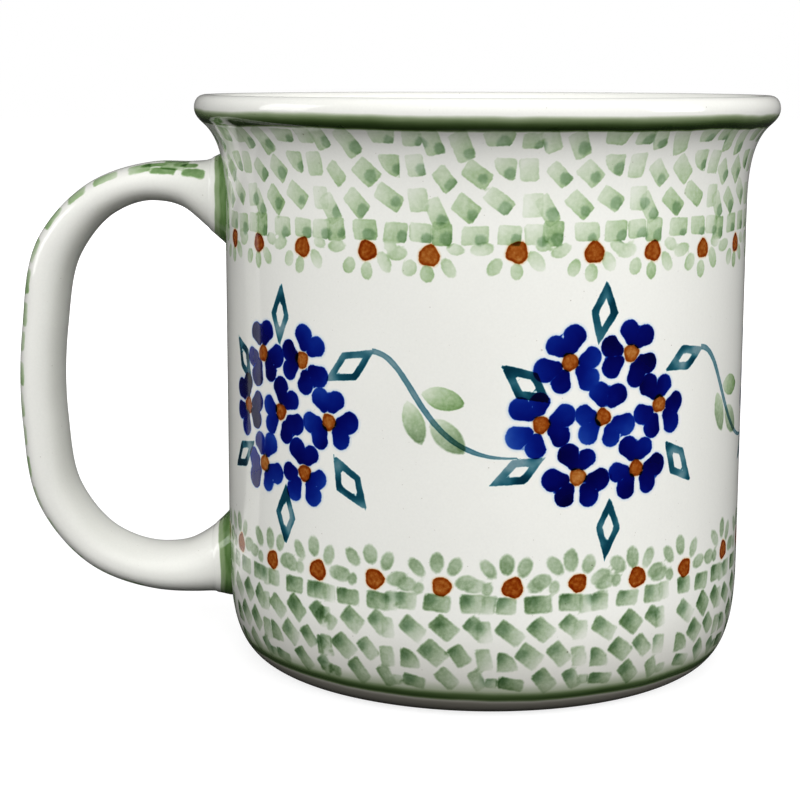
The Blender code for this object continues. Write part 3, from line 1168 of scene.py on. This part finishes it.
def green_stamps(graph, colour, height, wobble, edge, sponge, pool):
    """Stamps, softer on the lower half; where two overlap, both take light away."""
    low = graph.step(height, 50.0, 44.0)
    softness = graph.blend(low, 0.12, 0.24)
    marks = []
    for distance in graph.attribute("greens"):
        rim = graph.step(distance, -0.45, -0.02) * 0.20
        marks.append(coverage(graph, distance, edge, softness) * (rim + 0.93))
    stamped = graph.highest(*marks)
    overlap = marks[0] + marks[1] + marks[2] - stamped
    load = graph.attribute("dots")[2]
    texture = sponge * 0.9 + pool * 0.9 + 0.1
    total = (stamped + overlap * OVERLAP_SHARE) * load * texture
    colour = graph.paint(colour, graph.mix(low, GREEN, FOOT_GREEN), total)
    blot = graph.attribute("vine")[2]
    crisp = coverage(graph, blot, edge, 0.26) * 0.75
    soft = graph.step(blot + wobble, 0.7, -1.1) * 1.2
    stain = graph.blend(low, crisp, soft) * (pool + 0.45)
    return graph.paint(colour, BLOT_GREEN, stain * stamped), stamped


def brushed_bands(graph, colour, height, outer):
    """The bands at the lip and the foot, with painted shade under the lip's overhang and towards
    the table, where the thinner glaze also lets the clay show through.
    """
    drift = around_half(graph.noise(16.0, 3.0, (1.0, 1.0, 0.1), 51.0), 0.55)
    streaks = graph.noise(3.0, 3.0, (0.16, 0.16, 2.4), 61.0)
    level = height + drift + graph.split(graph.place)[0] * BAND_TILT
    thick = streaks * 0.70 + 0.38

    low, high = LIP_BAND
    above_low = graph.step(level, low - 0.25, low + 0.25)
    below_high = graph.step(level, high + 0.45, high - 0.3)
    # darker towards the band's lower edge: thicker paint, and painted shade from the lip's
    # overhang
    darker_share = graph.step(level, high, low) * 1.6
    colour = graph.paint(colour, OLIVE, above_low * below_high * outer * (thick + darker_share))

    low, high = FOOT_BAND
    above_low = graph.step(level, low - 0.35, low + 0.35)
    brushed = graph.step(level, high + 0.9, high - 0.7) * thick
    # a wash that fades up from the foot's band: painted shade
    wash = graph.step(level, high + 2.6, high) * 0.22
    load = above_low * (brushed + wash) * outer
    colour = graph.paint(colour, FOOT_GREEN, load * 1.1)
    colour = graph.paint(colour, OLIVE, load * 1.35)
    # darker on the bevel under the foot's band and low on the wall: painted shade, with some clay
    # showing through the thinner glaze on the bevel
    thin_glaze_and_shade = graph.step(level, low + 0.5, low - 1.0)
    painted_low_shade = graph.step(height, 18.0, 4.0) * 0.25
    return graph.paint(colour, CLAY_AND_SHADE_TINT, (thin_glaze_and_shade + painted_low_shade) * outer)


def teal_lines(graph, colour, edge, sponge):
    """Diamonds and vines: a pale wash, with darker paint pooled in it."""
    outside, inside_hole, load = graph.attribute("teal")
    offset, width, _ = graph.attribute("vine")
    diamonds = coverage(graph, graph.highest(outside, inside_hole * -1.0), edge * 0.7, 0.10)
    line = abs(offset) - width
    vines = coverage(graph, line, edge * 0.45, 0.10)
    wash = graph.highest(diamonds, vines) * (around_half(sponge, 0.22) + 1.2)
    colour = graph.paint(colour, TEAL_WASH, wash)
    darker_share = graph.step(graph.noise(4.2, 1.0, shift=71.0), 0.27, 0.62)
    wet_edge = graph.step(line, -0.25, 0.0) * 0.25
    core = graph.highest(darker_share * load * diamonds, (wet_edge + darker_share * 0.15) * vines)
    return graph.paint(colour, TEAL, core)


def cobalt_petals(graph, colour, edge, pool):
    """Petals, and the faint blue that bleeds into the glaze round them."""
    *last_two, load = graph.attribute("petals_b")
    nearest = graph.lowest(*last_two, *graph.attribute("petals_a"))
    bleed = graph.step(nearest, 0.6, -0.1) * 0.05
    petals = coverage(graph, nearest, edge * 0.8, 0.13)
    return graph.paint(colour, COBALT, petals * load * (pool * 0.40 + 0.80) + bleed), petals


def rust_dots(graph, colour, edge):
    """Speckled dots with a darker rim and a faint halo."""
    distance, load, _ = graph.attribute("dots")
    rim = graph.step(distance, -0.6, -0.05) * 0.34
    speckled = graph.noise(0.6, shift=81.0) * 1.15 + 0.35
    total = (load * speckled + rim) * coverage(graph, distance, edge * 0.8, 0.12)
    halo = graph.step(distance, 0.42, 0.05) * 0.07
    return graph.paint(colour, SIENNA, total + halo)


def body_material():
    graph = Graph(bpy.data.materials.new("painted_glaze_body"))
    outer, bare, _ = graph.attribute("zones")
    height = graph.split(graph.place)[2]
    wobble = around_half(graph.noise(1.6), 0.16)
    edge = wobble + around_half(graph.noise(0.55, shift=21.0), 0.10)
    sponge = graph.noise(0.55, 3.0, shift=31.0)
    pool = graph.noise(2.6, shift=41.0)

    colour = glaze_ground(graph)
    colour, stamped = green_stamps(graph, colour, height, wobble, edge, sponge, pool)
    colour = brushed_bands(graph, colour, height, outer)
    colour = teal_lines(graph, colour, edge, sponge)
    colour, petals = cobalt_petals(graph, colour, edge, pool)
    colour = rust_dots(graph, colour, edge)

    # the unglazed ring that stands on the table
    clay = graph.mix(graph.noise(0.9, 4.0, shift=91.0), BARE_CLAY, PALE_CLAY)
    colour = graph.mix(bare, colour, clay)
    roughness = graph.blend(bare, glaze_roughness(graph), 0.85)
    relief = glaze_relief(graph, petals + stamped * 0.3)
    grit = graph.noise(0.5, 3.0, shift=7.0) * bare * 0.08
    return graph.surface(colour, roughness, relief + grit)


def handle_material():
    graph = Graph(bpy.data.materials.new("painted_glaze_handle"))
    first, second, load = graph.attribute("dashes")
    wobble = around_half(graph.noise(1.3), 0.35)
    marks = coverage(graph, first, wobble, 0.22) + coverage(graph, second, wobble, 0.22)
    texture = graph.noise(1.4, 3.0, shift=13.0) * 0.9 + 0.6
    colour = graph.paint(glaze_ground(graph), GREEN, marks * load * texture)
    return graph.surface(colour, glaze_roughness(graph), glaze_relief(graph, marks))


def bead_material(name):
    graph = Graph(bpy.data.materials.new(name))
    share = graph.attribute("bead")[0]
    streaks = graph.noise(2.2, 3.0, (2.5, 0.5, 0.5), 23.0)
    edge = share + around_half(graph.noise(5.0, shift=33.0), 0.10)
    inside_band = graph.step(edge, 0.64, 0.56)
    dark = graph.step(edge, 0.42, 0.26)
    colour = graph.paint(glaze_ground(graph), OLIVE, inside_band * (streaks * 0.35 + 0.30))
    colour = graph.paint(colour, GREEN, (dark + 0.5) * inside_band * (streaks + 0.35))
    return graph.surface(colour, glaze_roughness(graph), glaze_relief(graph, inside_band))


# ---------------------------------------------------------------- studio, in metres


CAMERA_PLACE = (0.0, -0.3279, 0.0995)
CAMERA_YAW = -0.0438  # radians to the right
CAMERA_PITCH = 0.1688  # radians down
CAMERA_ROLL = 0.0018
CAMERA_LENS = 86.27
LIGHT_TARGET = (0.0, 0.0, 0.05)
LIGHTS = (  # name, place, width and height, watts, whether the glaze mirrors it
    ("front_softbox", (0.0, -0.80, 0.52), (1.2, 0.6), 10.7, False),
    ("top_softbox", (-0.05, -0.12, 0.85), (0.8, 0.8), 0.7, True),
    ("right_softbox", (1.05, -0.25, 0.42), (0.5, 0.6), 6.3, True),
    ("left_softbox", (-1.05, -0.15, 0.42), (0.5, 0.6), 3.5, True),
    ("back_softbox", (0.1, 1.10, 0.55), (1.2, 0.6), 12.0, False),
)
FLOOR_RADIUS = 4.0
FLOOR_RINGS = 12
FLOOR_COLUMNS = 96
FLOOR_DROP = 0.02 * MM  # keeps the foot ring's face clear of the paper


def aimed(place, forward):
    """A matrix that puts something at a place and turns its -Z along forward."""
    turn = forward.to_track_quat("-Z", "Y").to_matrix().to_4x4()
    return Matrix.Translation(place) @ turn


def make_camera():
    data = bpy.data.cameras.new("camera")
    data.lens = CAMERA_LENS
    data.sensor_width = 36.0
    data.clip_start = 0.01
    camera = bpy.data.objects.new("camera", data)
    level = math.cos(CAMERA_PITCH)
    sideways, ahead = math.sin(CAMERA_YAW) * level, math.cos(CAMERA_YAW) * level
    forward = Vector((sideways, ahead, -math.sin(CAMERA_PITCH)))
    camera.matrix_world = aimed(CAMERA_PLACE, forward) @ Matrix.Rotation(CAMERA_ROLL, 4, "Z")
    bpy.context.scene.collection.objects.link(camera)
    bpy.context.scene.camera = camera


def make_light(name, place, size, watts, glossy):
    data = bpy.data.lights.new(name, "AREA")
    data.shape = "RECTANGLE"
    data.size, data.size_y = size
    data.energy = watts
    light = bpy.data.objects.new(name, data)
    light.matrix_world = aimed(place, Vector(LIGHT_TARGET) - Vector(place))
    light.visible_camera = False
    light.visible_glossy = glossy
    bpy.context.scene.collection.objects.link(light)


def by_ray(graph, seen, glossy, diffuse):
    """A brightness that differs for the camera, for reflections and for bounced light."""
    path = graph.add("ShaderNodeLightPath").outputs
    unseen = graph.blend(Value(graph, path["Is Glossy Ray"]), diffuse, glossy)
    return graph.blend(Value(graph, path["Is Camera Ray"]), unseen, seen)


def make_world():
    world = bpy.data.worlds.new("studio")
    bpy.context.scene.world = world
    graph = Graph(world)
    strength = by_ray(graph, 1.0, 0.06, 0.10)
    sky = graph.value("ShaderNodeBackground", {"Color": WHITE, "Strength": strength})
    graph.add("ShaderNodeOutputWorld", {"Surface": sky})


def floor_material():
    """Pale paper that stays out of the reflections; its glow is dimmer by the mug, a painted
    shadow.
    """
    graph = Graph(bpy.data.materials.new("pale_paper"))
    distance = graph.vector("LENGTH", graph.place, output="Value")
    # painted shadow: the paper's glow is dimmer within 40 mm of the mug and reaches full
    # brightness 400 mm out
    glow_with_painted_shadow = graph.step(distance, 40.0, 400.0) * 0.20 + 0.80
    strength = glow_with_painted_shadow * by_ray(graph, 1.0, 0.0, 0.0)
    glow = graph.value("ShaderNodeEmission", {"Color": WHITE, "Strength": strength})
    paper = graph.value("ShaderNodeBsdfDiffuse", {"Color": by_ray(graph, 0.30, 0.02, 0.04)})
    both = graph.value("ShaderNodeAddShader", {0: glow, 1: paper})
    graph.add("ShaderNodeOutputMaterial", {"Surface": both})
    return graph.owner


def make_floor():
    """A round floor whose rings are finer near the mug."""
    points = []
    for ring in range(1, FLOOR_RINGS + 1):
        reach = FLOOR_RADIUS / MM * (ring / FLOOR_RINGS) ** 2
        for column in range(FLOOR_COLUMNS):
            angle = 2.0 * math.pi * column / FLOOR_COLUMNS
            points.append((reach * math.cos(angle), reach * math.sin(angle), -FLOOR_DROP / MM))
    faces = grid_faces(FLOOR_RINGS, FLOOR_COLUMNS).tolist()
    faces.append(list(range(FLOOR_COLUMNS))[::-1])
    floor = new_object("studio_floor", points, faces)
    floor.data.materials.append(floor_material())
    floor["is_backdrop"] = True


def make_studio():
    make_world()
    make_floor()
    make_camera()
    for light in LIGHTS:
        make_light(*light)
    scene = bpy.context.scene
    scene.view_settings.view_transform = "Standard"
    scene.view_settings.look = "None"


# ---------------------------------------------------------------- assembly


def place(piece, material, node, slot):
    piece.data.materials.clear()
    piece.data.materials.append(material)
    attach(piece, "root")
    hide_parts(node)


def write_sizes():
    sizes = {"cad": CAD_BOX, "visual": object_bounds()}
    sizes = {name: [list(corner) for corner in corners] for name, corners in sizes.items()}


path = handle_path()
place(make_body(), body_material(), "mug_body", "glazed_body")
place(make_handle(path), handle_material(), "handle", "glazed_handle")
upper = make_bead(path, "upper_slip_bead", *UPPER_ROOT)
place(upper, bead_material("painted_slip_upper"), "upper_slip_joint", "painted_slip_upper")
lower = make_bead(path, "lower_slip_bead", *LOWER_ROOT)
place(lower, bead_material("painted_slip_lower"), "lower_slip_joint", "painted_slip_lower")
make_studio()
write_sizes()
